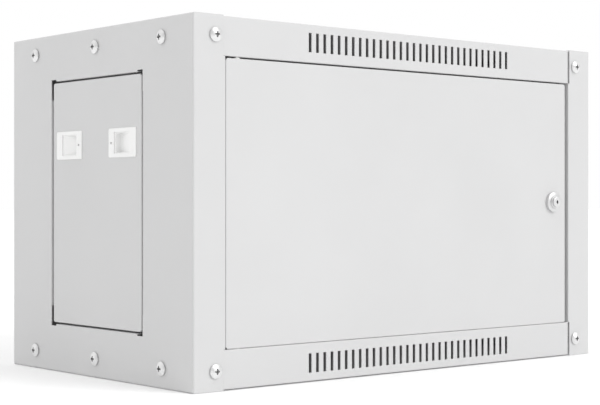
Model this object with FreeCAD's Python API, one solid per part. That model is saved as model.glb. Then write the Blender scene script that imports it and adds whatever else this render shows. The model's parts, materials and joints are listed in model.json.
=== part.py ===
"""Wall mount network cabinet for six rack units, in folded sheet steel.

Millimetres. X runs across the front, +Y goes from the door to the wall, +Z is up.
The origin is the middle of the base. The front face is at y = -depth / 2.
"""
import FreeCAD, Part
import math
import os

V = FreeCAD.Vector
X = V(1, 0, 0)
Y = V(0, 1, 0)
Z = V(0, 0, 1)

# Cabinet
width = 600.0
depth = 350.0
height = 370.0
sheet = 1.0
bend = 1.1
frame_bend = 2.0
flange = 37.0
flange_at_door = 39.4
flange_lip = 14.0
seam = 0.3

# Slotted front bars of the top and bottom panels
bar_height = 39.3
bar_gap_left = 0.05
bar_gap_right = 2.0
bar_end_fold = 8.0
bar_end_bend = 2.0
bar_notch = 9.0
slot_count = 31
slot_pitch = 10.0
slot_width = 4.0
slot_height = 20.0
slot_from_edge = 10.7
stop_lip = 9.0
stop_lip_end_left = 34.0
stop_lip_end_right = 12.0
panel_side_fold = 35.0
panel_rear_fold = 36.0

# Door
door_gap_left = 0.35
door_gap_right = 6.0
door_gap_top = 1.7
door_gap_bottom = 0.35
door_depth = 14.0
door_return = 9.0
corner_relief = 1.8
buffer_radius = 4.3
buffer_face_radius = 3.5
buffer_height = 0.8
buffer_gap = 0.2
buffer_from_centre = 190.0

# Door hinge
hinge_in = 16.0
hinge_back = 3.7
pin_radius = 1.5
pin_reach = 6.0
pin_head_radius = 2.6
pin_head = 2.0
bush_wall = 0.6
bush_flange = 1.0
bush_collar = 1.0
bush_lift = 0.1
running = 0.05
hinge_plate_thickness = 2.0
hinge_plate_corner = 4.0
hinge_plate_width = 24.0
hinge_plate_depth = 12.6

# Lock
lock_from_door_edge = 23.1
lock_above_middle = 1.0
escutcheon_radius = 12.0
escutcheon_height = 6.0
escutcheon_rim = 2.7
escutcheon_edge = 0.5
escutcheon_bevel_height = 4.4
escutcheon_neck_radius = 8.5
escutcheon_top_edge = 0.6
barrel_radius = 9.5
barrel_flat = 8.0
barrel_length = 16.0
plug_radius = 6.0
plug_head_radius = 6.6
plug_head_height = 1.6
plug_face_radius = 5.2
plug_dome_radius = 6.1
plug_dome_start = 0.3
plug_dome_end = 0.8
plug_head_gap = 0.1
plug_tail = 0.2
lock_nut_size = 24.0
lock_nut_thickness = 4.0
cam_length = 36.0
cam_width = 16.0
cam_thickness = 2.0
cam_square = 7.0
cam_gap = 0.1
cam_round = 6.4
cam_tip_round = 2.5
cam_screw_radius = 2.0
cam_screw_head = 8.6
cam_screw_head_height = 2.5
cam_screw_length = 6.0
cam_screw_bore = 8.0
key_hole_radius = 1.7
key_slot_width = 1.0
key_slot_length = 4.4
key_depth = 9.0

# Side openings and their removable panels
side_panel_width = 171.8
side_panel_height = 262.4
side_panel_gap_front = 2.4
side_panel_gap_rear = 4.4
side_panel_gap_level = 2.1
side_panel_middle_y = 0.0
opening_lip = 12.0
lip_end_level = 10.0
lip_end_upright = 20.0
relief_depth = 1.9
panel_fold = 10.0
hook_width = 24.0
hook_drop = 9.7
hook_gap = 0.3
hook_from_middle = 55.0

# Slide latches
latch_from_edge = 34.0
latch_below_top = 69.0
bezel_length = 51.0
bezel_height = 30.4
bezel_proud = 1.1
bezel_corner = 2.0
bezel_edge = 0.5
bezel_window_edge = 0.8
housing_length = 46.0
housing_height = 25.0
housing_wall = 1.2
window_inner = -15.0
window_outer = 14.0
window_height = 22.0
mark_middle = -19.8
mark_length = 3.6
mark_height = 2.0
cup_deep = 6.0
cup_outer = 12.6
cup_inner = -13.4
cup_lowest = -10.0
cup_round = 3.0
cup_half_height = 10.2
cup_end_round = 2.0
cup_floor = 1.6
cup_block_back = 2.0
slider_plate = 2.4
slider_face_gap = 0.1
rib_from_end = 8.0
latch_travel = 7.0
latch_clearance = 0.2
bolt_thickness = 3.0
bolt_width = 14.0
bolt_behind_lip = 0.5
bolt_tip_gap = 0.5
bolt_tip_thickness = 1.0
spring_strip = 0.5
spring_width = 6.0
spring_legs = 7

# Rack rails and their brackets
rail_sheet = 1.5
rail_bend = 2.4
rail_opening = 450.0
rail_flange = 30.0
rail_hole_spacing = 465.1
rail_hole = 9.5
rack_unit = 44.45
rack_units = 6
unit_holes = (6.35, 22.225, 38.1)
rail_from_front = 65.0
rail_leg = 34.0
rail_lip = 8.0
rail_travel = 120.0
rail_bolt_from_face = 22.0
rail_bolt_head = 4.0
rail_bolt_beyond = 2.0
bracket_bend = 3.0
bracket_depth = 330.0
bracket_height = 26.0
bracket_inner_height = 22.0
bracket_from_top = 34.0
slide_gap = 0.1

# Screws and nuts
screw_radius = 2.95
screw_hole = 3.3
screw_head_radius = 7.2
screw_head_height = 4.0
screw_seat_radius = 5.8
screw_rim = 1.5
screw_rim_edge = 0.3
screw_length = 12.0
cross_width = 1.7
cross_length = 6.0
cross_depth = 2.6
cross_core_radius = 1.8
cross_core_depth = 3.8
side_screw_pitch = 123.0
side_screw_middle = 1.0
screw_from_edge = 20.0
front_screw_in = 26.8
nut_size = 10.0
nut_thickness = 5.0
back_screw_radius = 2.5
back_screw_head = 4.6
back_screw_length = 8.0
back_screw_in = 20.0
back_cross_length = 5.0
back_cross_width = 1.2
thread_gap = 0.05

# Wall holes, cable entries and earth stud
wall_hole_radius = 4.5
wall_hole_spacing_x = 500.0
wall_hole_spacing_z = 200.0
cable_entry_width = 220.0
cable_entry_depth = 55.0
cable_entry_from_back = 30.0
cable_cover_margin = 14.0
cover_screw_radius = 1.75
cover_screw_head = 3.6
cover_screw_top = 2.2
cover_screw_head_height = 1.8
cover_screw_length = 3.1
stud_radius = 3.0
stud_length = 16.0
stud_collar_radius = 4.8
stud_from_left = 60.0
stud_from_back = 110.0

# How far a cut runs past its face, and how near two places are when they are the same
overrun = 1.0
nearness = 1e-4

# Derived places
left = -width / 2
right = width / 2
front = -depth / 2
back = depth / 2
middle_z = height / 2
bar_low = height - sheet - bar_height
bar_left = left + flange + bar_gap_left
bar_right = right - flange - bar_gap_right
bar_middle = (bar_left + bar_right) / 2
return_top = bar_low + sheet
stop_y = front + door_depth + buffer_height + buffer_gap
door_left = left + flange_at_door + door_gap_left
door_right = right - flange_at_door - door_gap_right
door_top = bar_low - door_gap_top
door_bottom = height - bar_low + door_gap_bottom
door_rear = front + door_depth
hinge_x = door_left + hinge_in
hinge_y = front + hinge_back
lock_x = door_right - lock_from_door_edge
lock_z = middle_z + lock_above_middle
panel_low = middle_z - side_panel_height / 2
panel_high = middle_z + side_panel_height / 2
panel_front = side_panel_middle_y - side_panel_width / 2
panel_rear = side_panel_middle_y + side_panel_width / 2
open_low = panel_low - side_panel_gap_level
open_high = panel_high + side_panel_gap_level
open_front = panel_front - side_panel_gap_front
open_rear = panel_rear + side_panel_gap_rear
latch_from_middle = side_panel_width / 2 - latch_from_edge
face_in = left + sheet
fold_in = face_in + sheet
bracket_in = fold_in + rail_sheet
screw_z = height - screw_from_edge
side_screw_ys = [side_screw_middle + n * side_screw_pitch for n in (-1, 0, 1)]
front_screw_x = left + front_screw_in
rail_y = front + rail_from_front
bracket_inner_x = rail_opening / 2 + rail_flange
rail_side_x = -bracket_inner_x + slide_gap
rail_bolt_y = rail_y + rail_bolt_from_face
bracket_low = height - sheet * 2 - bracket_from_top + rail_sheet
rail_bolt_z = bracket_low + rail_sheet + (bracket_inner_height - rail_sheet) / 2
rail_top = bracket_low + bracket_inner_height - 2 * slide_gap
latch_z = panel_high - latch_below_top


def box(x0, x1, y0, y1, z0, z1):
    return Part.makeBox(x1 - x0, y1 - y0, z1 - z0, V(x0, y0, z0))


def rod(radius, start, end):
    return Part.makeCylinder(radius, (end - start).Length, start, end - start)


def fuse(shapes):
    return shapes[0].multiFuse(shapes[1:]).removeSplitter()


def mirror_x(shape):
    return shape.mirror(V(0, 0, 0), X)


def mirror_z(shape):
    return shape.mirror(V(0, 0, middle_z), Z)


def outline(points, radii=None):
    """A flat face through the points, with an arc of the given radius at each corner."""
    radii = radii or [0] * len(points)
    arrive = []
    leave = []
    edges = []
    for i, point in enumerate(points):
        to_last = (points[i - 1] - point).normalize()
        to_next = (points[(i + 1) % len(points)] - point).normalize()
        half = to_last.getAngle(to_next) / 2
        reach = radii[i] / math.tan(half)
        arrive.append(point + to_last * reach)
        leave.append(point + to_next * reach)
        if radii[i]:
            across = (to_last + to_next).normalize()
            middle = point + across * (radii[i] / math.sin(half) - radii[i])
            edges.append(Part.Arc(arrive[i], middle, leave[i]).toShape())
        else:
            edges.append(None)
    path = []
    for i, arc in enumerate(edges):
        if arc:
            path.append(arc)
        following = arrive[(i + 1) % len(points)]
        if (following - leave[i]).Length > nearness:
            path.append(Part.LineSegment(leave[i], following).toShape())
    return Part.Face(Part.Wire(path))


def fold(start, end, inward, metal, deep, thick=sheet, radius=bend):
    """A strip that turns inward from an outer face along the line from start to end.

    metal points from the line into the sheet that the strip is folded from."""
    corners = [(0, radius), (0, 0), (deep, 0), (deep, thick), (thick, thick), (thick, radius)]
    radii = [0, radius, 0, 0, radius - thick, 0]
    points = [start + inward * a + metal * b for a, b in corners]
    return outline(points, radii).extrude(end - start)


def double_fold(start, end, inward, metal, deep, back):
    """A fold whose free edge turns once more, parallel to the face."""
    first = fold(start, end, inward, metal, deep - bend)
    second = fold(start + inward * deep, end + inward * deep, metal, inward * -1, back)
    return fuse([first, second])


def hexagon(size, start, end):
    """A hexagonal prism of the given width across flats along the line from start to end."""
    axis = (end - start).normalize()
    side = axis.cross(X if abs(axis.x) < 0.5 else Z)
    other = axis.cross(side)
    radius = size / math.sqrt(3)
    turns = [math.radians(60 * n) for n in range(6)]
    points = [start + side * (radius * math.cos(a)) + other * (radius * math.sin(a)) for a in turns]
    return outline(points).extrude(end - start)


def nut(start, end, size=nut_size, bore=screw_radius + thread_gap):
    return hexagon(size, start, end).cut(rod(bore, start, end))


def revolve(profile, base, axis, side):
    """A solid turned about the axis, from (along, radius) points; side is any radial direction."""
    points = [base + axis * along + side * radius for along, radius in profile]
    return outline(points).revolve(base, axis, 360)


def dome_screw(seat, inward, length=screw_length):
    """A domed cross-head screw with a chamfered underside; its shank goes inward from the seat."""
    out = inward * -1
    side = Z if abs(out.z) < 0.5 else X
    rise = screw_head_height - screw_rim
    ball = (screw_head_radius ** 2 + rise ** 2) / (2 * rise)
    rim = seat + out * screw_rim
    dome = Part.makeSphere(ball, rim + inward * (ball - rise))
    dome = dome.common(rod(screw_head_radius, rim, rim + out * (rise + overrun)))
    profile = [(0, 0), (0, screw_seat_radius), (screw_rim - screw_rim_edge, screw_head_radius),
               (screw_rim, screw_head_radius), (screw_rim, 0)]
    head = fuse([dome, revolve(profile, seat, out, side)])
    top = seat + out * (screw_head_height - cross_depth)
    deep = seat + out * (screw_head_height - cross_core_depth)
    head = head.cut(rod(cross_core_radius, deep, seat + out * (screw_head_height + overrun)))
    other = out.cross(side)
    for along, across in ((side, other), (other, side)):
        corners = [
            top + along * (a * cross_length / 2) + across * (b * cross_width / 2)
            for a, b in ((-1, -1), (1, -1), (1, 1), (-1, 1))
        ]
        head = head.cut(outline(corners).extrude(out * (cross_depth + overrun)))
    shank = rod(screw_radius, seat, seat + inward * length)
    return fuse([head, shank])


def make_side_frame():
    """The left side frame: a tray of one sheet with an opening and inward lips."""
    outer = box(left, left + flange, front, back, 0, height)
    rim = [e for e in outer.Edges if all(abs(v.X - left) < nearness for v in e.Vertexes)]
    outer = outer.makeFillet(frame_bend, rim)
    inner = box(face_in, left + flange + overrun, front + sheet, back - sheet, sheet, height - sheet)
    rim = [e for e in inner.Edges if all(abs(v.X - face_in) < nearness for v in e.Vertexes)]
    tray = outer.cut(inner.makeFillet(frame_bend - sheet, rim))
    cuts = []
    for y0 in (front + sheet, back - sheet - seam):
        for z0 in (0, height - sheet):
            cuts.append(box(left + frame_bend, left + flange, y0, y0 + seam, z0, z0 + sheet))
    cuts.append(box(left, face_in, open_front - bend, open_rear + bend, open_low + lip_end_upright,
                    open_high - lip_end_upright))
    cuts.append(box(left, face_in, open_front + lip_end_level, open_rear - lip_end_level,
                    open_low - bend, open_high + bend))
    cuts.append(box(left, face_in, open_front, open_rear, open_low, open_high))
    for y in (open_front, open_rear - lip_end_level):
        cuts.append(box(left, face_in, y, y + lip_end_level, open_low - relief_depth,
                        open_high + relief_depth))
    for y in side_screw_ys:
        for z in (screw_from_edge, screw_z):
            cuts.append(rod(screw_hole, V(left, y, z), V(face_in, y, z)))
    for z in (screw_from_edge, screw_z):
        cuts.append(rod(screw_hole, V(front_screw_x, front, z), V(front_screw_x, front + sheet, z)))
    for z in (screw_from_edge, middle_z, screw_z):
        cuts.append(back_screw_hole(left + back_screw_in, z))
    tray = tray.cut(Part.makeCompound(cuts))
    lips = []
    low, high = open_low + lip_end_upright, open_high - lip_end_upright
    lips.append(fold(V(left, open_front, low), V(left, open_front, high), X, Y * -1, opening_lip))
    lips.append(fold(V(left, open_rear, low), V(left, open_rear, high), X, Y, opening_lip))
    y0, y1 = open_front + lip_end_level, open_rear - lip_end_level
    lips.append(fold(V(left, y0, open_low), V(left, y1, open_low), X, Z * -1, opening_lip))
    lips.append(fold(V(left, y0, open_high), V(left, y1, open_high), X, Z, opening_lip))
    edge = left + flange_at_door
    low, high = height - bar_low + bar_gap_left, bar_low - bar_gap_left
    widening = box(left + flange, edge - bend, front, front + sheet, low, high)
    lips.append(widening)
    lips.append(fold(V(edge, front, low), V(edge, front, high), Y, X * -1, flange_lip))
    return fuse([tray] + lips)


def bar_plate():
    """The slotted front bar, folded inward on three edges, with the door stop behind."""
    top = height - sheet
    plate = box(bar_left, bar_right - bar_end_bend, front, front + sheet, bar_low + bend, top - bend)
    slots = []
    first = bar_middle - slot_pitch * (slot_count - 1) / 2
    for n in range(slot_count):
        x = first + n * slot_pitch
        z = bar_low + slot_from_edge
        slots.append(box(x - slot_width / 2, x + slot_width / 2, front, front + sheet, z, z + slot_height))
    plate = plate.cut(Part.makeCompound(slots))
    upper = fold(V(bar_left, front, top), V(bar_right, front, top), Y, Z * -1, door_depth)
    inner = stop_y + sheet - bend
    lower = fold(V(bar_left, front, bar_low), V(bar_right, front, bar_low), Y, Z, inner - front)
    relief = box(bar_left, bar_left + bar_notch, front + sheet, inner, bar_low, bar_low + sheet)
    x0, x1 = bar_left + stop_lip_end_left, bar_right - stop_lip_end_right
    stop = fold(V(x0, stop_y + sheet, return_top), V(x1, stop_y + sheet, return_top),
                Z * -1, Y * -1, stop_lip + sheet)
    low_end, high_end = V(bar_right, front, bar_low + bend + seam), V(bar_right, front, top - bend - seam)
    end = fold(low_end, high_end, Y, X * -1, bar_end_fold, sheet, bar_end_bend)
    return fuse([plate, upper, lower.cut(relief), stop, end])


def make_top_panel():
    """The top panel: a plate with the front bar, two side folds, a rear fold and lapped end tabs."""
    top = height - sheet
    rear = back - 2 * sheet
    near = front + sheet
    plate = box(face_in + bend, -face_in - bend, near + bend, rear - bend, top - sheet, top)
    pieces = [plate, bar_plate()]
    for side in (1, -1):
        x = face_in * side
        y0, y1 = front + 2 * sheet + bend, rear - bend - sheet
        start, end = V(x, y0, top), V(x, y1, top)
        pieces.append(fold(start, end, Z * -1, X * side, panel_side_fold))
        start, end = V((face_in + bend + sheet) * side, near, top), V((left + flange) * side, near, top)
        pieces.append(fold(start, end, Z * -1, Y, top - return_top - bend))
    x0, x1 = face_in + bend + sheet, -face_in - bend - sheet
    pieces.append(fold(V(x0, rear, top), V(x1, rear, top), Z * -1, Y * -1, panel_rear_fold))
    body = fuse(pieces)
    cuts = []
    for side in (1, -1):
        for y in side_screw_ys:
            cuts.append(rod(screw_hole, V(face_in * side, y, screw_z), V(fold_in * side, y, screw_z)))
        x = front_screw_x * side
        cuts.append(rod(screw_hole, V(x, front + sheet, screw_z), V(x, front + 2 * sheet, screw_z)))
        x = (left + back_screw_in) * side
        cuts.append(back_screw_hole(x, screw_z))
    y1 = back - cable_entry_from_back
    cuts.append(box(-cable_entry_width / 2, cable_entry_width / 2, y1 - cable_entry_depth, y1,
                    top - sheet, top))
    for x, y in cover_screw_places():
        cuts.append(rod(cover_screw_radius + thread_gap, V(x, y, top - sheet), V(x, y, top)))
    cuts.append(rod(pin_radius + thread_gap, V(hinge_x, hinge_y, bar_low), V(hinge_x, hinge_y, return_top)))
    return body.cut(Part.makeCompound(cuts))


def cover_screw_places():
    x = cable_entry_width / 2 + cable_cover_margin / 2
    y = back - cable_entry_from_back - cable_entry_depth / 2
    reach = cable_entry_depth / 2 - cable_cover_margin / 2
    return [(s * x, y + t * reach) for s in (1, -1) for t in (1, -1)]


def make_cable_cover():
    """A plate that closes the cable entry from inside, held by four small screws."""
    top = height - 2 * sheet
    x = cable_entry_width / 2 + cable_cover_margin
    y1 = back - cable_entry_from_back
    plate = box(-x, x, y1 - cable_entry_depth - cable_cover_margin / 2, y1 + cable_cover_margin / 2,
                top - sheet, top)
    holes = [rod(cover_screw_radius + thread_gap, V(a, b, top - sheet), V(a, b, top))
             for a, b in cover_screw_places()]
    return plate.cut(Part.makeCompound(holes))


def make_cover_screws():
    screws = []
    for x, y in cover_screw_places():
        seat = height - 3 * sheet
        shank = rod(cover_screw_radius, V(x, y, seat), V(x, y, seat + cover_screw_length))
        head = Part.makeCone(cover_screw_head, cover_screw_top, cover_screw_head_height, V(x, y, seat),
                             Z * -1)
        screws.append(fuse([shank, head]))
    return screws


def back_screw_hole(x, z):
    """The countersunk hole that a back screw needs through every rear sheet."""
    gap = thread_gap
    seat = V(x, back, z)
    cone = Part.makeCone(back_screw_head + gap, back_screw_radius + gap, back_cone_depth(), seat, Y * -1)
    return cone.fuse(rod(back_screw_radius + gap, seat, seat - Y * back_screw_length))


def back_cone_depth():
    return back_screw_head - back_screw_radius


def make_back_screws():
    screws = []
    for x in (left + back_screw_in, right - back_screw_in):
        for z in (screw_from_edge, middle_z, screw_z):
            seat = V(x, back, z)
            cone = Part.makeCone(back_screw_head, back_screw_radius, back_cone_depth(), seat, Y * -1)
            shank = rod(back_screw_radius, seat, seat - Y * back_screw_length)
            screw = fuse([cone, shank])
            arms = []
            a, b = back_cross_length / 2, back_cross_width / 2
            for p, q in ((a, b), (b, a)):
                arms.append(box(x - p, x + p, back - sheet, back, z - q, z + q))
            screws.append(screw.cut(Part.makeCompound(arms)))
    return screws


def make_back_panel():
    """The back panel lies inside the rear flanges and carries the four wall holes."""
    y1 = back - sheet
    inset = frame_bend + sheet
    plate = box(left + inset, right - inset, y1 - sheet, y1, sheet, height - sheet)
    cuts = []
    for x in (left + back_screw_in, right - back_screw_in):
        for z in (screw_from_edge, middle_z, screw_z):
            cuts.append(back_screw_hole(x, z))
    for sx in (1, -1):
        for sz in (1, -1):
            x = sx * wall_hole_spacing_x / 2
            z = middle_z + sz * wall_hole_spacing_z / 2
            cuts.append(rod(wall_hole_radius, V(x, y1 - sheet, z), V(x, y1, z)))
    return plate.cut(Part.makeCompound(cuts))


def make_door_panel():
    """The door: a plate folded twice along every edge, with a hole for the lock."""
    x0, x1, z0, z1 = door_left, door_right, door_bottom, door_top
    plate = box(x0 + bend, x1 - bend, front, front + sheet, z0 + bend, z1 - bend)
    pieces = [plate]
    c = corner_relief
    pieces.append(double_fold(V(x0, front, z0 + c), V(x0, front, z1 - c), Y, X, door_depth, door_return))
    pieces.append(double_fold(V(x1, front, z0 + c), V(x1, front, z1 - c), Y, X * -1, door_depth,
                              door_return))
    for z, metal in ((z0, Z), (z1, Z * -1)):
        pieces.append(fold(V(x0 + c, front, z), V(x1 - c, front, z), Y, metal, door_depth - bend))
        inset = door_return + sheet
        start, end = V(x0 + inset, door_rear, z), V(x1 - inset, door_rear, z)
        pieces.append(fold(start, end, metal, Y * -1, door_return))
    body = fuse(pieces)
    hole = rod(barrel_radius + thread_gap, V(lock_x, front, lock_z), V(lock_x, front + sheet, lock_z))
    reach = barrel_radius + overrun
    flats = box(lock_x - reach, lock_x + reach, front, front + sheet,
                lock_z - barrel_flat - thread_gap, lock_z + barrel_flat + thread_gap)
    cuts = [hole.common(flats)]
    for z in (z0, z1 - sheet):
        cuts.append(rod(bush_radius(), V(hinge_x, hinge_y, z), V(hinge_x, hinge_y, z + sheet)))
    return body.cut(Part.makeCompound(cuts))


def bush_radius():
    return pin_radius + running + bush_wall


def make_hinge_bushes():
    """Two flanged bushes in the door's top and bottom folds."""
    bushes = []
    for z, up in ((door_top, 1), (door_bottom, -1)):
        flange_height = bush_flange if up > 0 else door_gap_bottom - bush_lift
        seat = V(hinge_x, hinge_y, z)
        sleeve = rod(bush_radius(), seat - Z * (up * 2 * sheet), seat)
        collar = rod(bush_radius() + bush_collar, seat, seat + Z * (up * flange_height))
        low, high = seat - Z * (up * 2 * sheet), seat + Z * (up * flange_height)
        bushes.append(fuse([sleeve, collar]).cut(rod(pin_radius + running, low, high)))
    return bushes


def make_hinge_plate():
    """A small plate on the bar's return that carries the upper hinge pin."""
    z0 = return_top
    x0 = bar_left + bar_notch
    y0 = front + bend + thread_gap
    x1, y1 = x0 + hinge_plate_width, y0 + hinge_plate_depth
    z1 = z0 + hinge_plate_thickness
    points = [V(x0, y0, z0), V(x1, y0, z0), V(x1, y1, z0), V(x0, y1, z0)]
    radii = [0, bend, hinge_plate_corner, hinge_plate_corner]
    plate = outline(points, radii).extrude(Z * hinge_plate_thickness)
    return plate.cut(rod(pin_radius + thread_gap, V(hinge_x, hinge_y, z0), V(hinge_x, hinge_y, z1)))


def make_hinge_pin():
    """The upper hinge pin hangs by its head from the hinge plate into the door."""
    z0 = return_top + hinge_plate_thickness
    pin = rod(pin_radius, V(hinge_x, hinge_y, door_top - pin_reach), V(hinge_x, hinge_y, z0))
    head = rod(pin_head_radius, V(hinge_x, hinge_y, z0), V(hinge_x, hinge_y, z0 + pin_head))
    return fuse([pin, head])


def make_door_buffers():
    """Four rubber buttons on the stop lips, on which the door closes."""
    buffers = []
    for x in (-buffer_from_centre, buffer_from_centre):
        z = bar_low - stop_lip / 2
        for place in (z, height - z):
            seat = V(x, stop_y, place)
            buffers.append(Part.makeCone(buffer_radius, buffer_face_radius, buffer_height, seat, Y * -1))
    return buffers


def make_lock_housing():
    """The lock's escutcheon and barrel, with flats that keep it from turning in the door."""
    base = V(lock_x, front, lock_z)
    r = escutcheon_radius
    h = escutcheon_height
    profile = [(barrel_length, plug_radius + running), (barrel_length, barrel_radius),
               (0, barrel_radius), (0, r), (-escutcheon_rim, r),
               (-escutcheon_rim - escutcheon_edge, r - escutcheon_edge),
               (-escutcheon_bevel_height, escutcheon_neck_radius),
               (escutcheon_top_edge - h, escutcheon_neck_radius),
               (-h, escutcheon_neck_radius - escutcheon_top_edge), (-h, plug_radius + running)]
    body = revolve(profile, base, Y, Z)
    for side in (1, -1):
        z0, z1 = lock_z + side * barrel_flat, lock_z + side * (barrel_radius + overrun)
        body = body.cut(box(lock_x - r, lock_x + r, front, front + barrel_length,
                            min(z0, z1), max(z0, z1)))
    return body


def make_lock_nut():
    y0 = front + sheet
    return nut(V(lock_x, y0, lock_z), V(lock_x, y0 + lock_nut_thickness, lock_z), lock_nut_size,
               barrel_radius + thread_gap)


def make_lock_plug():
    """The turning plug: domed head with a keyhole in front, square end for the cam behind."""
    y_head = -escutcheon_height - plug_head_gap
    y_tip = y_head - plug_head_height
    y_end = barrel_length + plug_tail
    r = plug_head_radius
    base = V(lock_x, front, lock_z)
    profile = [(y_tip, 0), (y_tip, plug_face_radius), (y_tip + plug_dome_start, plug_dome_radius),
               (y_tip + plug_dome_end, r), (y_head, r), (y_head, plug_radius), (y_end, plug_radius),
               (y_end, 0)]
    plug = revolve(profile, base, Y, Z)
    s = cam_square / 2
    end = front + y_end + cam_thickness
    square = box(lock_x - s, lock_x + s, front + y_end - overrun, end, lock_z - s, lock_z + s)
    plug = fuse([plug, square])
    tip = front + y_tip
    slot = box(lock_x - key_slot_width / 2, lock_x + key_slot_width / 2, tip, tip + key_depth,
               lock_z - key_slot_length / 2, lock_z + key_slot_length / 2)
    round_hole = rod(key_hole_radius, V(lock_x, tip, lock_z), V(lock_x, tip + key_depth, lock_z))
    screw_bore = rod(cam_screw_radius + thread_gap, V(lock_x, end - cam_screw_bore, lock_z),
                     V(lock_x, end, lock_z))
    return plug.cut(Part.makeCompound([slot, round_hole, screw_bore]))


def cam_place():
    return front + barrel_length + plug_tail + cam_gap


def make_lock_cam():
    """The cam points up when the door is unlocked and reaches behind the flange when locked."""
    y0 = cam_place()
    w = cam_width / 2
    z0, z1 = lock_z - w, lock_z + cam_length
    points = [V(lock_x - w, y0, z0), V(lock_x + w, y0, z0), V(lock_x + w, y0, z1), V(lock_x - w, y0, z1)]
    radii = [cam_round, cam_round, cam_tip_round, cam_tip_round]
    cam = outline(points, radii).extrude(Y * cam_thickness)
    s = cam_square / 2 + thread_gap
    return cam.cut(box(lock_x - s, lock_x + s, y0, y0 + cam_thickness, lock_z - s, lock_z + s))


def make_cam_screw():
    y0 = cam_place() + cam_thickness
    shank = rod(cam_screw_radius, V(lock_x, y0 - cam_screw_length, lock_z), V(lock_x, y0, lock_z))
    top = V(lock_x, y0 + cam_screw_head_height, lock_z)
    head = hexagon(cam_screw_head, V(lock_x, y0, lock_z), top)
    return fuse([shank, head])


def make_side_panel():
    """The left removable panel: a folded pan with two hooks behind the lower lip."""
    y0, y1, z0, z1 = panel_front, panel_rear, panel_low, panel_high
    pieces = [box(left, face_in, y0 + bend, y1 - bend, z0 + bend, z1 - bend)]
    c = corner_relief
    pieces.append(fold(V(left, y0, z0 + c), V(left, y0, z1 - c), X, Y, panel_fold))
    pieces.append(fold(V(left, y1, z0 + c), V(left, y1, z1 - c), X, Y * -1, panel_fold))
    pieces.append(fold(V(left, y0 + c, z0), V(left, y1 - c, z0), X, Z, panel_fold))
    pieces.append(fold(V(left, y0 + c, z1), V(left, y1 - c, z1), X, Z * -1, panel_fold))
    lip_top = open_low + hook_gap
    lip_end = left + opening_lip + hook_gap
    edge = left + panel_fold
    hook = [(edge - sheet, z0), (edge, z0), (edge, lip_top), (lip_end, lip_top),
            (lip_end, open_low - hook_drop), (lip_end + sheet, open_low - hook_drop),
            (lip_end + sheet, lip_top + sheet), (edge + sheet, lip_top + sheet),
            (edge + sheet, z0 + sheet), (edge - sheet, z0 + sheet)]
    for side in (1, -1):
        y = side_panel_middle_y + side * hook_from_middle - hook_width / 2
        points = [V(x, y, z) for x, z in hook]
        pieces.append(outline(points).extrude(Y * hook_width))
    body = fuse(pieces)
    windows = []
    for side in (1, -1):
        reach = housing_length / 2 + latch_clearance
        rise = housing_height / 2 + latch_clearance
        windows.append(latch_box(side, -reach, reach, -rise, rise, 0, sheet))
    return body.cut(Part.makeCompound(windows))


def latch_point(side, u, v, w):
    """A point of a left latch: u towards the opening's upright edge, v up, w into the cabinet."""
    return V(left + w, side_panel_middle_y + side * (latch_from_middle + u), latch_z + v)


def latch_box(side, u0, u1, v0, v1, w0, w1):
    a, b = latch_point(side, u0, v0, w0), latch_point(side, u1, v1, w1)
    return box(a.x, b.x, min(a.y, b.y), max(a.y, b.y), a.z, b.z)


def bolt_start():
    return opening_lip + bolt_behind_lip


def bolt_tip(side):
    gap = side_panel_gap_rear if side > 0 else side_panel_gap_front
    return latch_from_edge + gap - bolt_tip_gap


def make_latch_housing(side):
    """The fixed plastic box of a latch, with the bezel that shows on the panel."""
    reach, rise = housing_length / 2, housing_height / 2
    deep = bolt_start() + bolt_thickness + latch_clearance + housing_wall
    corners = [latch_point(side, a * bezel_length / 2, b * bezel_height / 2, -bezel_proud)
               for a, b in ((-1, -1), (1, -1), (1, 1), (-1, 1))]
    bezel = outline(corners, [bezel_corner] * 4).extrude(X * bezel_proud)
    rim = [e for e in bezel.Edges if all(abs(v.X - left + bezel_proud) < nearness for v in e.Vertexes)]
    bezel = bezel.makeFillet(bezel_edge, rim)
    body = latch_box(side, -reach, reach, -rise, rise, -bezel_proud / 2, deep)
    inside = latch_box(side, -reach + housing_wall, reach + overrun, -rise + housing_wall,
                       rise - housing_wall, 0, deep - housing_wall)
    half = window_height / 2
    past = bezel_proud + overrun
    window = latch_box(side, window_inner, window_outer, -half, half, -past, overrun)
    mark = latch_box(side, mark_middle - mark_length / 2, mark_middle + mark_length / 2,
                     -mark_height / 2, mark_height / 2, -past, overrun)
    housing = fuse([bezel, body]).cut(Part.makeCompound([inside, window, mark]))
    brow = [e for e in housing.Edges if is_window_edge(side, e, half)]
    return housing.makeFillet(bezel_window_edge, brow)


def is_window_edge(side, edge, half):
    """True for the four outer edges of the bezel's window."""
    sides = (window_inner, window_outer)
    ends = [latch_point(side, u, v, -bezel_proud) for u in sides for v in (-half, half)]
    return all(any((v.Point - end).Length < nearness for end in ends) for v in edge.Vertexes)


def finger_cup(side):
    """The scoop of a slider: a long slope that ends in a steep wall, with rounded ends."""
    slope = cup_deep / (cup_outer - cup_lowest)
    beyond = cup_outer + cup_deep / slope
    profile = [(beyond, -cup_deep), (cup_lowest, cup_deep), (cup_inner, 0), (cup_inner, -cup_deep)]
    points = [latch_point(side, u, -cup_half_height, w) for u, w in profile]
    scoop = outline(points, [0, cup_round, 0, 0]).extrude(Z * (2 * cup_half_height))
    ends = [e for e in scoop.Edges if is_cup_end(e)]
    return scoop.makeFillet(cup_end_round, ends)


def is_cup_end(edge):
    """True for the edges round the bottom of the scoop's two flat ends."""
    level = abs(edge.Vertexes[0].Z - edge.Vertexes[-1].Z) < nearness
    return level and edge.BoundBox.XMax > left + nearness


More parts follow.
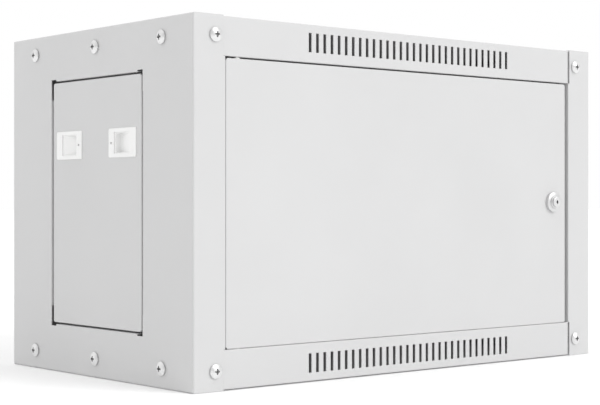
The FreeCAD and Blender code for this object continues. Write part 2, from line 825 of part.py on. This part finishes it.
def make_latch_slider(side):
    """The sliding finger cup with its bolt, drawn back from the frame's lip."""
    rise = housing_height / 2 - housing_wall - latch_clearance
    inner = -housing_length / 2 + housing_wall + latch_clearance
    outer = housing_length / 2 - latch_travel - latch_clearance
    plate = latch_box(side, inner, outer, -rise, rise, slider_face_gap, slider_plate)
    cup = latch_box(side, window_inner - cup_floor, outer - cup_block_back, -rise, rise, slider_face_gap,
                    cup_deep + cup_floor)
    w0 = bolt_start()
    w1 = w0 + bolt_thickness
    root = outer - rib_from_end
    half = bolt_width / 2
    rib = latch_box(side, root, root + bolt_thickness, -half, half, slider_plate, w1)
    tip = bolt_tip(side)
    bolt = latch_box(side, root, tip, -half, half, w0, w1)
    body = fuse([plate, cup, rib, bolt])
    hollow = finger_cup(side)
    bevel = [latch_point(side, u, -half, w) for u, w in
             ((tip - bolt_thickness, w1), (tip, w1), (tip, w0 + bolt_tip_thickness))]
    ramp = outline(bevel).extrude(Z * bolt_width)
    return body.cut(hollow).cut(ramp)


def make_latch_spring(side):
    """A zigzag strip between the housing's closed end and the slider's rib."""
    u0 = -housing_length / 2 + housing_wall
    u1 = housing_length / 2 - latch_travel - latch_clearance - rib_from_end
    low = cup_deep + cup_floor
    high = bolt_start() + bolt_thickness
    step = (u1 - u0) / spring_legs
    mitre = spring_strip / 2 * math.hypot(step, high - low) / step
    upper = []
    lower = []
    for n in range(spring_legs + 1):
        w = low + 2 * mitre if n % 2 == 0 else high - 2 * mitre
        u = u0 + n * step
        upper.append(latch_point(side, u, -spring_width / 2, w + mitre))
        lower.append(latch_point(side, u, -spring_width / 2, w - mitre))
    return outline(upper + lower[::-1]).extrude(Z * spring_width)


def make_bracket():
    """The upper left bracket: a channel clamped by the side screws, slotted for the rail bolts."""
    x0, x1 = fold_in, -bracket_inner_x
    z0 = bracket_low
    y = -bracket_depth / 2
    t = rail_sheet
    profile = [(x0, z0 + bracket_height), (x0, z0), (x1, z0), (x1, z0 + bracket_inner_height),
               (x1 - t, z0 + bracket_inner_height), (x1 - t, z0 + t), (x0 + t, z0 + t),
               (x0 + t, z0 + bracket_height)]
    r = bracket_bend
    radii = [0, r, r, 0, 0, r - t, r - t, 0]
    body = outline([V(a, y, b) for a, b in profile], radii).extrude(Y * bracket_depth)
    cuts = [rod(screw_hole, V(x0, a, screw_z), V(x0 + t, a, screw_z)) for a in side_screw_ys]
    ends = [V(x1 - t, rail_bolt_y + a, rail_bolt_z) for a in (0, rail_travel)]
    for end in ends:
        cuts.append(rod(screw_hole, end, end + X * t))
    cuts.append(box(x1 - t, x1, ends[0].y, ends[1].y, rail_bolt_z - screw_hole, rail_bolt_z + screw_hole))
    return body.cut(Part.makeCompound(cuts))


def make_rail():
    """The left 19 inch rail with its column of square holes."""
    x0, x1 = rail_side_x, -rail_opening / 2
    y0 = rail_y
    t = rail_sheet
    z0 = height - rail_top
    profile = [(x0, y0 + rail_leg), (x0, y0), (x1, y0), (x1, y0 + rail_lip), (x1 - t, y0 + rail_lip),
               (x1 - t, y0 + t), (x0 + t, y0 + t), (x0 + t, y0 + rail_leg)]
    r = rail_bend
    radii = [0, r, r, 0, 0, r - t, r - t, 0]
    body = outline([V(a, b, z0) for a, b in profile], radii).extrude(Z * (rail_top - z0))
    cuts = []
    x = -rail_hole_spacing / 2
    h = rail_hole / 2
    for unit in range(rack_units):
        for place in unit_holes:
            z = middle_z + (unit - rack_units / 2) * rack_unit + place
            cuts.append(box(x - h, x + h, y0, y0 + t, z - h, z + h))
    for z in (rail_bolt_z, height - rail_bolt_z):
        cuts.append(rod(screw_hole, V(x0, rail_bolt_y, z), V(x0 + t, rail_bolt_y, z)))
    return body.cut(Part.makeCompound(cuts))


def make_rail_bolts():
    """Two bolts with nuts that clamp a rail to its brackets through the slots."""
    solids = []
    seat_x = rail_side_x + rail_sheet
    nut_x = -bracket_inner_x - rail_sheet - slide_gap
    tip_x = nut_x - nut_thickness - rail_bolt_beyond
    for z in (rail_bolt_z, height - rail_bolt_z):
        seat = V(seat_x, rail_bolt_y, z)
        head = hexagon(nut_size, seat, seat + X * rail_bolt_head)
        shank = rod(screw_radius, seat, V(tip_x, rail_bolt_y, z))
        solids.append(fuse([head, shank]))
        solids.append(nut(V(nut_x, rail_bolt_y, z), V(nut_x - nut_thickness, rail_bolt_y, z)))
    return solids


def make_side_screws():
    return [dome_screw(V(left, y, z), X) for y in side_screw_ys for z in (screw_from_edge, screw_z)]


def make_front_screws():
    screws = []
    for x in (front_screw_x, -front_screw_x):
        for z in (screw_from_edge, screw_z):
            screws.append(dome_screw(V(x, front, z), Y))
    return screws


def make_side_nuts():
    start = bracket_in
    return [nut(V(start, y, z), V(start + nut_thickness, y, z))
            for y in side_screw_ys for z in (screw_from_edge, screw_z)]


def make_front_nuts():
    y = front + 2 * sheet
    return [nut(V(x, y, z), V(x, y + nut_thickness, z))
            for x in (front_screw_x, -front_screw_x) for z in (screw_from_edge, screw_z)]


def make_earth_stud():
    """The earth stud, whose collar is welded to the bottom panel."""
    x, y = left + stud_from_left, back - stud_from_back
    z = 2 * sheet
    stud = rod(stud_radius, V(x, y, z), V(x, y, z + stud_length))
    collar = rod(stud_collar_radius, V(x, y, z), V(x, y, z + sheet))
    return [fuse([stud, collar])]


def make_earth_nut():
    x, y = left + stud_from_left, back - stud_from_back
    z = 3 * sheet
    return [nut(V(x, y, z), V(x, y, z + nut_thickness), nut_size, stud_radius + thread_gap)]


def save(name, shape):
    """Writes one sub-part; a list of solids becomes one group."""
    if isinstance(shape, list):
        shape = Part.makeCompound(shape)
    shape.exportStep("parts/" + name + ".step")
    print(name, len(shape.Solids), "valid" if shape.isValid() else "BROKEN", round(shape.Volume, 1))


def both_sides(name, shape):
    """Saves a left piece and its mirror image on the right."""
    group = shape if isinstance(shape, list) else [shape]
    save("left_" + name, shape)
    save("right_" + name, [mirror_x(s) for s in group] if isinstance(shape, list) else mirror_x(shape))


os.makedirs("parts", exist_ok=True)
both_sides("side_frame", make_side_frame())
top_panel = make_top_panel()
save("top_panel", top_panel)
save("bottom_panel", mirror_z(top_panel))
save("back_panel", make_back_panel())
both_sides("side_panel", make_side_panel())
for place, side in (("front", -1), ("rear", 1)):
    both_sides(place + "_latch_housing", make_latch_housing(side))
    both_sides(place + "_latch_slider", make_latch_slider(side))
    both_sides(place + "_latch_spring", make_latch_spring(side))
save("door_panel", make_door_panel())
save("door_buffers", make_door_buffers())
save("hinge_plates", [make_hinge_plate(), mirror_z(make_hinge_plate())])
lower_pin = mirror_z(make_hinge_pin())
save("upper_hinge_pin", make_hinge_pin())
save("lower_hinge_pin", lower_pin)
save("hinge_bushes", make_hinge_bushes())
save("lock_housing", make_lock_housing())
save("lock_nut", make_lock_nut())
save("lock_plug", make_lock_plug())
save("lock_cam", make_lock_cam())
save("cam_screw", make_cam_screw())
both_sides("upper_bracket", make_bracket())
both_sides("lower_bracket", mirror_z(make_bracket()))
both_sides("rack_rail", make_rail())
both_sides("rail_bolts", make_rail_bolts())
both_sides("side_screws", make_side_screws())
both_sides("side_nuts", make_side_nuts())
save("front_screws", make_front_screws())
save("front_nuts", make_front_nuts())
save("back_screws", make_back_screws())
save("top_cable_cover", make_cable_cover())
save("bottom_cable_cover", mirror_z(make_cable_cover()))
cover_screws = make_cover_screws()
save("cover_screws", cover_screws + [mirror_z(s) for s in cover_screws])
save("earth_stud", make_earth_stud())
save("earth_nut", make_earth_nut())
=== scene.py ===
import json
import math

import bpy
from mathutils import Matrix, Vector

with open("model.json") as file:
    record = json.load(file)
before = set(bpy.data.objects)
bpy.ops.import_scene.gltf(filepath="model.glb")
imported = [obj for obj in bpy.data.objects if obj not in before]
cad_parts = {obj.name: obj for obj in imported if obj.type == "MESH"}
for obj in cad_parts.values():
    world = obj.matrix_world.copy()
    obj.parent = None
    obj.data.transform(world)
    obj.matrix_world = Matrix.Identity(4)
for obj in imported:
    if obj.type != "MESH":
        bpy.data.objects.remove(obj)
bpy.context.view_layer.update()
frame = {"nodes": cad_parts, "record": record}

# Camera at the photograph's viewing angle, level, on the picture's centre
camera_place = (-1.14044, -1.33123, 0.18533)
camera_yaw = 40.158
camera_lens = 88.46
sensor_width = 36.0

# The white room: its light on the cabinet, and how bright it looks to the camera
room_light = 1.166
seen_light = 1.0

# The room is darker where the camera stands, and a little darker on the right, where pale plastic
# would clip to white. Each dim side has a direction and a depth, and fades from inner to outer.
dim_sides = (((-0.645, -0.764, 0.0), 0.55), ((0.87, 0.40, 0.29), 0.27))
dim_inner = 0.92
dim_outer = 0.30

# The key light, with its spread in degrees
key_place = (1.2, -2.6, 1.9)
key_power = 0.98
key_spread = 30

# The light inside the cabinet
fill_power = 0.06
fill_size = 0.03
fill_place = (0.02, -0.08, 0.185)

# The floor: its greys, their scale, its glow to the camera, and its place just under the cabinet
floor_greys = (0.87, 0.89)
floor_patch = 3.0
floor_glow = 0.12
floor_size = 60
floor_place = (0, 0, -0.0002)

# Noise stays between these values
noise_low = 0.3
noise_high = 0.7

# How much finer the roughness's patches are than the colour's, and what the grain's specks darken to
roughness_patches = 4
grain_roughness = 0.6
speck_colour = (0.8, 0.8, 0.8, 1)

# How open a spot is when the painted shade in hollows is full, and when it has ended
painted_shade_full = 0.35
painted_shade_none = 0.85

# Samples for the painted shade in hollows and for the rounded edges
painted_shade_samples = 8
edge_samples = 4

white = (1, 1, 1, 1)

# The colour sockets of the Mix node share their names with others, so they go by number
mix_first = 6
mix_second = 7
mix_result = 2

# Colours, roughness from and to, and scales of noise; depths, edges and the reach of the painted shade in
# hollows in metres
finish_values = {
    "powder_coat": dict(dark=(0.666, 0.666, 0.668), light=(0.686, 0.686, 0.688), rough=(0.54, 0.64),
                        grain=1400, grain_depth=0.00006, edge=0.0003, level=0.35, speck=0.12),
    "zinc_sheet": dict(dark=(0.50, 0.51, 0.53), light=(0.68, 0.69, 0.70), rough=(0.28, 0.42), metallic=1.0,
                       grain=500, grain_depth=0.00002, patch=60, edge=0.0003, stretch=(1, 1, 0.25)),
    "zinc_fastener": dict(dark=(0.62, 0.63, 0.65), light=(0.74, 0.74, 0.75), rough=(0.22, 0.35), metallic=1.0,
                          grain=900, grain_depth=0.00002, patch=120, edge=0.0002),
    "white_screw": dict(dark=(0.79, 0.79, 0.79), light=(0.83, 0.83, 0.83), rough=(0.36, 0.44), metallic=0.8,
                        grain=900, grain_depth=0.00002, patch=80, edge=0.0002, painted_shade_reach=0.004),
    "white_plastic": dict(dark=(0.91, 0.91, 0.905), light=(0.935, 0.935, 0.93), rough=(0.36, 0.46),
                          grain=1800, grain_depth=0.00002, patch=40, edge=0.0003, painted_shade_reach=0.018, painted_shade_factor=0.8),
    "spring_steel": dict(dark=(0.42, 0.42, 0.44), light=(0.58, 0.58, 0.60), rough=(0.25, 0.38), metallic=1.0,
                         grain=700, grain_depth=0.00002, patch=90),
    "lock_metal": dict(dark=(0.70, 0.70, 0.705), light=(0.74, 0.74, 0.74), rough=(0.44, 0.54), metallic=1.0,
                       grain=1200, grain_depth=0.00001, patch=90, edge=0.0004, painted_shade_reach=0.005),
    "nylon": dict(dark=(0.80, 0.80, 0.77), light=(0.85, 0.85, 0.83), rough=(0.40, 0.52),
                  grain=1500, grain_depth=0.00002, patch=60, edge=0.0002),
    "rubber": dict(dark=(0.030, 0.030, 0.031), light=(0.052, 0.052, 0.053), rough=(0.62, 0.78),
                   grain=1200, grain_depth=0.00004, patch=70, edge=0.0003),
}


class Nodes:
    """Adds shader nodes by short type names and links them by socket name or number."""

    def __init__(self, tree):
        self.tree = tree
        tree.nodes.clear()

    def add(self, kind, links=None, **values):
        node = self.tree.nodes.new("ShaderNode" + kind)
        for key, value in values.items():
            setattr(node, key, value)
        for socket, source in (links or {}).items():
            target = node.inputs[socket]
            if isinstance(source, bpy.types.NodeSocket):
                self.tree.links.new(source, target)
            else:
                target.default_value = source
        return node


def shader_tree(name):
    material = bpy.data.materials.new(name)
    material.use_nodes = True
    return material, Nodes(material.node_tree)


def noise(n, where, scale, detail=3.0, rough=0.5):
    return n.add("TexNoise", {"Vector": where, "Scale": scale, "Detail": detail,
                              "Roughness": rough}).outputs["Fac"]


def spread(n, value, low, high):
    """A noise value spread between two levels."""
    return n.add("MapRange", {"Value": value, "From Min": noise_low, "From Max": noise_high,
                              "To Min": low, "To Max": high}).outputs["Result"]


def calculate(n, operation, first, second):
    return n.add("Math", {0: first, 1: second}, operation=operation).outputs[0]


def mix(n, factor, first, second, blend_type="MIX"):
    """Two colours blended, from the first at 0 to the second at 1."""
    links = {"Factor": factor, mix_first: first, mix_second: second}
    return n.add("Mix", links, data_type="RGBA", blend_type=blend_type).outputs[mix_result]


def finish_material(name, dark, light, rough, grain, grain_depth, patch=9.0, metallic=0.0, edge=0.0,
                    stretch=(1, 1, 1), level=0.5, speck=0.0, painted_shade_reach=0.0, painted_shade_factor=0.65):
    """A finish with patchy colour, varied roughness, a fine grain and softly rounded cut edges.

    speck is how strongly the grain shows in the colour. The last two settings paint shade into hollows: how
    far around a spot the occlusion looks for walls, and the share of the dark colour that a closed-in spot is
    painted."""
    material, n = shader_tree(name)
    where = n.add("TexCoord").outputs["Object"]
    along = n.add("Mapping", {"Vector": where, "Scale": stretch}).outputs["Vector"]
    fine = noise(n, along, grain, rough=grain_roughness)
    patches = spread(n, noise(n, along, patch), 0.0, 1.0)
    colour = mix(n, patches, (*dark, 1), (*light, 1))
    if speck:
        colour = mix(n, spread(n, fine, 0.0, speck), colour, speck_colour, "MULTIPLY")
    # Painted shade: spots closed in by nearby walls, such as screw recesses, the lock's steps and finger
    # cups, darken by their ambient occlusion
    if painted_shade_reach:
        openness = n.add("AmbientOcclusion", {"Distance": painted_shade_reach}, samples=painted_shade_samples, only_local=True)
        unshaded = n.add("MapRange", {"Value": openness.outputs["AO"], "From Min": painted_shade_full,
                                   "From Max": painted_shade_none}).outputs["Result"]
        colour = mix(n, unshaded, (*[painted_shade_factor * c for c in dark], 1), colour)
    roughness = spread(n, noise(n, along, patch * roughness_patches), *rough)
    bump_links = {"Height": fine, "Strength": 1.0, "Distance": grain_depth}
    if edge:
        bump_links["Normal"] = n.add("Bevel", {"Radius": edge}, samples=edge_samples).outputs["Normal"]
    bump = n.add("Bump", bump_links).outputs["Normal"]
    surface = n.add("BsdfPrincipled", {"Base Color": colour, "Roughness": roughness, "Metallic": metallic,
                                       "Specular IOR Level": level, "Normal": bump})
    n.add("OutputMaterial", {"Surface": surface.outputs["BSDF"]})
    return material


def finish_nodes():
    """Gives each CAD node the finish that its record names."""
    finishes = {name: finish_material(name, **values) for name, values in finish_values.items()}
    slots = {part["node"]: part["material_slot"] for part in frame["record"]["subparts"]}
    for name, node in frame["nodes"].items():
        node.data.materials.clear()
        node.data.materials.append(finishes[slots[name]])


def to_camera(n):
    """1 for what the camera sees directly, in a reflection or through glass."""
    path = n.add("LightPath").outputs
    direct_or_mirrored = calculate(n, "MAXIMUM", path["Is Camera Ray"], path["Is Glossy Ray"])
    return calculate(n, "MAXIMUM", direct_or_mirrored, path["Is Transmission Ray"])


def make_floor():
    """A pale floor that the camera sees as white except in the cabinet's shadow."""
    material, n = shader_tree("pale_floor")
    where = n.add("TexCoord").outputs["Object"]
    shade = spread(n, noise(n, where, floor_patch, detail=2.0), *floor_greys)
    tone = n.add("CombineColor", {0: shade, 1: shade, 2: shade}).outputs["Color"]
    plain = n.add("BsdfDiffuse", {"Color": tone})
    lift = calculate(n, "MULTIPLY", to_camera(n), floor_glow)
    glow = n.add("Emission", {"Color": white, "Strength": lift})
    both = n.add("AddShader", {0: plain.outputs[0], 1: glow.outputs[0]})
    n.add("OutputMaterial", {"Surface": both.outputs[0]})
    bpy.ops.mesh.primitive_plane_add(size=floor_size, location=floor_place)
    floor = bpy.context.object
    floor.name = "floor"
    floor.data.materials.append(material)


def make_world():
    """A white room that looks plain to the camera, while its light on the cabinet fades at the dim sides."""
    world = bpy.data.worlds.new("studio")
    bpy.context.scene.world = world
    world.use_nodes = True
    n = Nodes(world.node_tree)
    way = n.add("TexCoord").outputs["Generated"]
    room = 1.0
    for side, depth in dim_sides:
        facing = n.add("VectorMath", {0: way, 1: side}, operation="DOT_PRODUCT").outputs["Value"]
        dimness = n.add("MapRange", {"Value": facing, "From Min": dim_outer, "From Max": dim_inner,
                                     "To Max": depth}, interpolation_type="SMOOTHSTEP")
        room = calculate(n, "SUBTRACT", room, dimness.outputs["Result"])
    direct = n.add("LightPath").outputs["Is Camera Ray"]
    kept = calculate(n, "MAXIMUM", room, direct)
    bright = n.add("MapRange", {"Value": to_camera(n), "To Min": room_light, "To Max": seen_light})
    strength = calculate(n, "MULTIPLY", bright.outputs["Result"], kept)
    sky = n.add("Background", {"Color": white, "Strength": strength})
    n.add("OutputWorld", {"Surface": sky.outputs[0]})


def add_object(name, data, place):
    thing = bpy.data.objects.new(name, data)
    bpy.context.scene.collection.objects.link(thing)
    thing.location = place
    return thing


def make_key():
    """The key light, aimed from high on the right of the front at the middle of the cabinet's foot."""
    data = bpy.data.lights.new("key", "SUN")
    data.angle = math.radians(key_spread)
    data.energy = key_power
    lamp = add_object("key", data, key_place)
    lamp.rotation_euler = (-Vector(key_place)).to_track_quat("-Z", "Y").to_euler()


def make_inner_fill():
    """The little light that comes in through the vents and bounces about inside."""
    data = bpy.data.lights.new("inner_fill", "POINT")
    data.energy = fill_power
    data.shadow_soft_size = fill_size
    add_object("inner_fill", data, fill_place)


def make_camera():
    data = bpy.data.cameras.new("camera")
    data.sensor_width = sensor_width
    data.lens = camera_lens
    camera = add_object("camera", data, camera_place)
    camera.rotation_euler = (math.radians(90), 0, math.radians(-camera_yaw))
    bpy.context.scene.camera = camera


finish_nodes()
make_floor()
make_world()
make_key()
make_inner_fill()
make_camera()
bpy.context.scene.view_settings.view_transform = "Standard"
